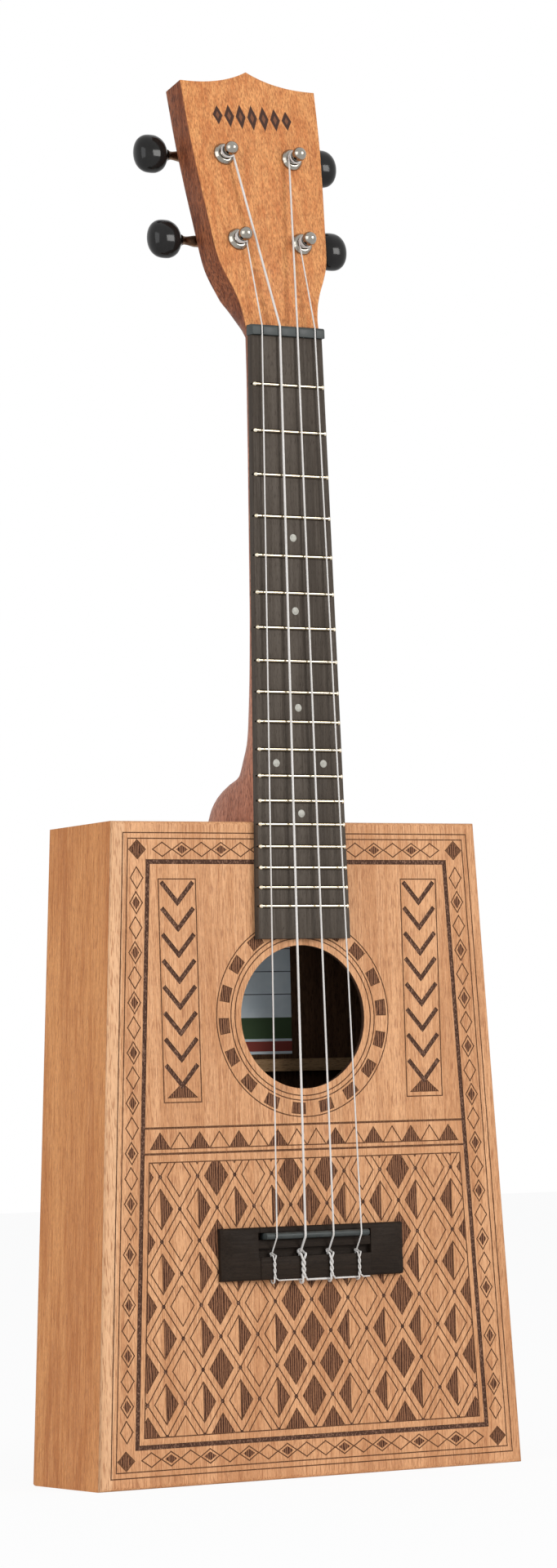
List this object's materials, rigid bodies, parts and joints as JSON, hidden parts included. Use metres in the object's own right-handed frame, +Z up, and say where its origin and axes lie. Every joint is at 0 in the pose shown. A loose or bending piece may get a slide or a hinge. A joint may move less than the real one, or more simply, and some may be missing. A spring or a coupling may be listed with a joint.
{
  "type": "cigar box ukulele",
  "caption": "Concert-size fretted ukulele with a tapered wooden cigar-box body, a round sound hole, a tie-block bridge and open-geared tuners whose knobs and posts turn.",
  "frame": {"origin": "centre of the tail end face of the box, on which the instrument stands", "axes": "+Z up along the neck to the headstock, -Y out of the soundboard towards the strings, +X to the right seen from the front"},
  "size_m": [0.209, 0.0694, 0.6094],
  "materials": {
    "box_wood": "satin",
    "inner_wood": "bare",
    "neck_wood": "satin",
    "dark_wood": "oiled",
    "black_bone": "satin",
    "fret_metal": "polished",
    "nickel": "polished",
    "bronze": "aged",
    "black_plastic": "gloss",
    "nylon": "translucent"
  },
  "bodies": {
    "instrument": {"soundboard": "box_wood", "back_panel": "box_wood", "side_left": "box_wood", "side_right": "box_wood", "end_lower": "box_wood", "end_upper": "box_wood", "neck_block": "inner_wood", "tail_block": "inner_wood", "front_lining": "inner_wood", "back_lining": "inner_wood", "soundboard_brace": "inner_wood", "back_brace": "inner_wood", "bridge_patch": "inner_wood", "neck": "neck_wood", "fingerboard": "dark_wood", "bridge": "dark_wood", "nut": "black_bone", "saddle": "black_bone", "fret_01": "fret_metal", "fret_02": "fret_metal", "fret_03": "fret_metal", "fret_04": "fret_metal", "fret_05": "fret_metal", "fret_06": "fret_metal", "fret_07": "fret_metal", "fret_08": "fret_metal", "fret_09": "fret_metal", "fret_10": "fret_metal", "fret_11": "fret_metal", "fret_12": "fret_metal", "fret_13": "fret_metal", "fret_14": "fret_metal", "fret_15": "fret_metal", "fret_16": "fret_metal", "fret_17": "fret_metal", "fret_18": "fret_metal", "bushing_g": "nickel", "tuner_plate_g": "nickel", "bushing_c": "nickel", "tuner_plate_c": "nickel", "bushing_e": "nickel", "tuner_plate_e": "nickel", "bushing_a": "nickel", "tuner_plate_a": "nickel", "string_g": "nylon", "string_c": "nylon", "string_e": "nylon", "string_a": "nylon"},
    "knob_g": {"worm_shaft_g": "bronze", "button_g": "black_plastic"},
    "string_post_g": {"post_g": "nickel"},
    "knob_c": {"worm_shaft_c": "bronze", "button_c": "black_plastic"},
    "string_post_c": {"post_c": "nickel"},
    "knob_e": {"worm_shaft_e": "bronze", "button_e": "black_plastic"},
    "string_post_e": {"post_e": "nickel"},
    "knob_a": {"worm_shaft_a": "bronze", "button_a": "black_plastic"},
    "string_post_a": {"post_a": "nickel"}
  },
  "joints": [
    {"name": "knob_g_turn", "type": "hinge", "parent": "instrument", "child": "knob_g", "pos_m": [-0.016, -0.00272, 0.53313], "axis": [1, 0, 0], "continuous": true},
    {"name": "post_g_turn", "type": "hinge", "parent": "instrument", "child": "string_post_g", "pos_m": [-0.016, -0.02193, 0.53128], "axis": [0, 0.9781, -0.2079], "continuous": true},
    {"name": "knob_c_turn", "type": "hinge", "parent": "instrument", "child": "knob_c", "pos_m": [-0.01705, 0.00553, 0.57196], "axis": [1, 0, 0], "continuous": true},
    {"name": "post_c_turn", "type": "hinge", "parent": "instrument", "child": "string_post_c", "pos_m": [-0.01705, -0.01367, 0.57011], "axis": [0, 0.9781, -0.2079], "continuous": true},
    {"name": "knob_e_turn", "type": "hinge", "parent": "instrument", "child": "knob_e", "pos_m": [0.01705, 0.00553, 0.57196], "axis": [1, 0, 0], "continuous": true},
    {"name": "post_e_turn", "type": "hinge", "parent": "instrument", "child": "string_post_e", "pos_m": [0.01705, -0.01367, 0.57011], "axis": [0, 0.9781, -0.2079], "continuous": true},
    {"name": "knob_a_turn", "type": "hinge", "parent": "instrument", "child": "knob_a", "pos_m": [0.016, -0.00272, 0.53313], "axis": [1, 0, 0], "continuous": true},
    {"name": "post_a_turn", "type": "hinge", "parent": "instrument", "child": "string_post_a", "pos_m": [0.016, -0.02193, 0.53128], "axis": [0, 0.9781, -0.2079], "continuous": true}
  ],
  "couplings": [
    {"joint": "post_g_turn", "follows": "knob_g_turn", "ratio": -0.071429},
    {"joint": "post_c_turn", "follows": "knob_c_turn", "ratio": -0.071429},
    {"joint": "post_e_turn", "follows": "knob_e_turn", "ratio": -0.071429},
    {"joint": "post_a_turn", "follows": "knob_a_turn", "ratio": -0.071429}
  ]
}
